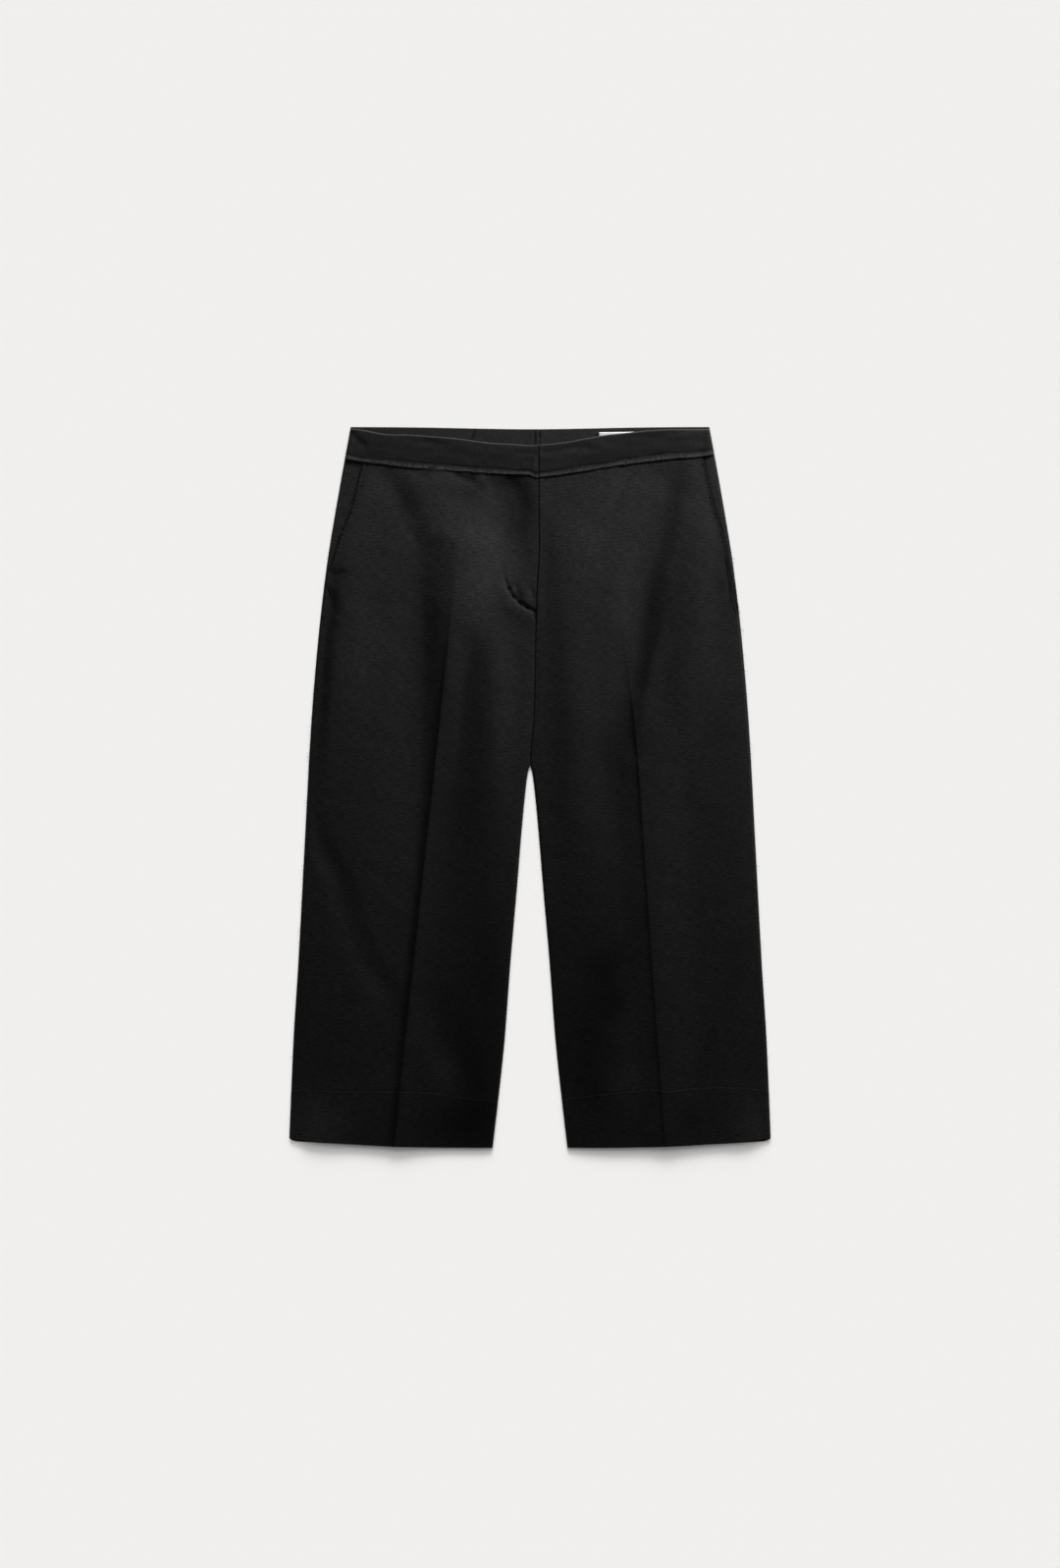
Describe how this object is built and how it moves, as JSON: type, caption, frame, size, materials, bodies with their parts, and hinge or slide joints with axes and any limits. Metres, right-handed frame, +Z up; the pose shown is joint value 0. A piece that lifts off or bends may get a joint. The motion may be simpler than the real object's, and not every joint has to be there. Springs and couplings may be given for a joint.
{
  "type": "capri trousers",
  "caption": "Black cropped wide-leg trousers laid flat, with slant pockets, a lapped fly, pressed creases and turned-up hems.",
  "frame": {"origin": "centre of the footprint, on the surface that the trousers lie on", "axes": "+Y from the hems to the waist, +X to the wearer's left, +Z up from the surface out of the front"},
  "size_m": [0.5098, 0.763, 0.009],
  "materials": {
    "cloth": "matt woven linen blend with fine crosswise slubs, pressed",
    "tape": "matt woven tape",
    "label": "smooth woven satin, bare"
  },
  "bodies": {
    "root": {"back_right": "cloth", "back_left": "cloth", "front_right": "cloth", "front_left": "cloth", "pocket_facing_right": "cloth", "pocket_facing_left": "cloth", "waistband_front_right": "cloth", "waistband_front_left": "cloth", "waistband_back_right": "cloth", "waistband_back_left": "cloth", "fly_shield": "cloth", "zip": "tape", "label": "label"}
  },
  "joints": []
}
